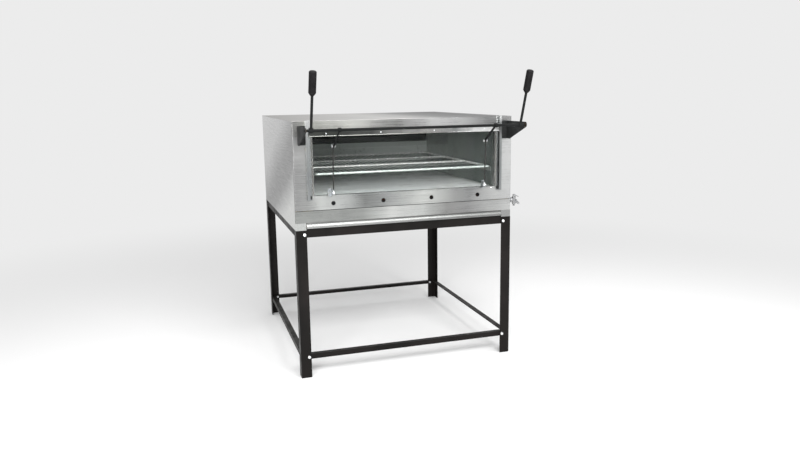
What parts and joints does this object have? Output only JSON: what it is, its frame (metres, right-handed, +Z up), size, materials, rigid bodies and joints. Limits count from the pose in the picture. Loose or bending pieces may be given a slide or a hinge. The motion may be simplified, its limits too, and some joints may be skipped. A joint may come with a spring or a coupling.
{
  "type": "gas_oven",
  "caption": "Single-deck gas oven with a sliding glass door worked by levers on a cross shaft, stainless casing, wire rack, on an open bolted stand of black steel angle.",
  "frame": {"origin": "on the floor, midway between left and right and between front and rear of the whole object's box", "axes": "+X to the right seen from the front, +Y from the front to the rear, +Z up"},
  "size_m": [1.1742, 1.4524, 1.4523],
  "materials": {
    "stand_paint": "satin black paint",
    "zinc": "bright zinc plate",
    "stainless": "brushed stainless sheet",
    "trim_steel": "polished stainless trim",
    "back_sheet": "galvanised sheet",
    "chamber_steel": "heat-dulled steel sheet",
    "hearth_steel": "heat-dulled floor plate",
    "wool": "mineral wool",
    "rack_chrome": "bright chrome wire",
    "burner_steel": "blued burner tube",
    "pipe_steel": "gas pipe",
    "brass": "turned brass",
    "cock_metal": "nickelled brass",
    "black_parts": "satin black paint",
    "grip_plastic": "black moulded grip",
    "glass": "clear tempered glass",
    "rope": "woven fibre rope",
    "bush": "sintered bronze"
  },
  "bodies": {
    "body_root": {"stand_leg_front_left": "stand_paint", "stand_leg_front_right": "stand_paint", "stand_leg_rear_left": "stand_paint", "stand_leg_rear_right": "stand_paint", "stand_top_rail_front": "stand_paint", "stand_top_rail_rear": "stand_paint", "stand_top_rail_left": "stand_paint", "stand_top_rail_right": "stand_paint", "stand_low_rail_front": "stand_paint", "stand_low_rail_rear": "stand_paint", "stand_low_rail_left": "stand_paint", "stand_low_rail_right": "stand_paint", "stand_bolts": "zinc", "stand_nuts": "zinc", "base_tray": "stainless", "base_strip": "stainless", "front_frame": "stainless", "side_casing_left": "stainless", "side_casing_right": "stainless", "top_panel": "stainless", "rear_panel": "back_sheet", "chamber_left_wall": "chamber_steel", "chamber_right_wall": "chamber_steel", "chamber_rear_wall": "chamber_steel", "chamber_ceiling": "chamber_steel", "hearth_plate": "hearth_steel", "insulation_sides": "wool", "insulation_rear": "wool", "insulation_top": "wool", "flue_collector": "chamber_steel", "rack_rails": "chamber_steel", "burner_tubes": "burner_steel", "burner_bearers": "burner_steel", "gas_manifold": "pipe_steel", "gas_jets": "brass", "gas_cock_body": "cock_metal", "door_guide_left": "stainless", "door_guide_right": "stainless", "door_seal_ropes": "rope", "lift_bracket_left": "black_parts", "lift_bracket_right": "black_parts", "casing_screws": "zinc", "shaft_bushes": "bush", "door_rests": "black_parts"},
    "lift": {"lift_shaft": "black_parts", "crank_arms": "black_parts", "lever_left": "black_parts", "lever_right": "black_parts", "grip_left": "grip_plastic", "grip_right": "grip_plastic"},
    "door": {"door_glass": "glass", "door_top_trim": "trim_steel", "door_clips": "zinc"},
    "rod_left": {"lift_rod_left": "zinc", "rod_bolts_left": "zinc"},
    "rod_right": {"lift_rod_right": "zinc", "rod_bolts_right": "zinc"},
    "cock_key": {"gas_cock_key": "cock_metal", "gas_cock_nut": "cock_metal"},
    "rack": {"oven_rack": "rack_chrome"}
  },
  "joints": [
    {"name": "lift_turn", "type": "hinge", "parent": "body_root", "child": "lift", "pos_m": [-0.03712, -0.62181, 1.2], "axis": [1, 0, 0], "range_deg": [0, 75]},
    {"name": "door_slide", "type": "slide", "parent": "body_root", "child": "door", "axis": [0, 0, 1], "range_m": [0, 0.18122]},
    {"name": "rod_left_turn", "type": "hinge", "parent": "lift", "child": "rod_left", "pos_m": [-0.41512, -0.49629, 1.12157], "axis": [1, 0, 0], "range_deg": [-70.41, 0]},
    {"name": "rod_right_turn", "type": "hinge", "parent": "lift", "child": "rod_right", "pos_m": [0.34088, -0.49629, 1.12157], "axis": [1, 0, 0], "range_deg": [-70.41, 0]},
    {"name": "cock_turn", "type": "hinge", "parent": "body_root", "child": "cock_key", "pos_m": [0.55488, -0.37881, 0.805], "axis": [0, 0, 1], "range_deg": [0, 90]},
    {"name": "rack_slide", "type": "slide", "parent": "body_root", "child": "rack", "axis": [0, -1, 0], "range_m": [0, 0.02]}
  ],
  "couplings": [
    {"joint": "door_slide", "follows": "lift_turn", "m_per_rad": 0.13844},
    {"joint": "rod_left_turn", "follows": "lift_turn", "ratio": -0.93885},
    {"joint": "rod_right_turn", "follows": "lift_turn", "ratio": -0.93885}
  ]
}
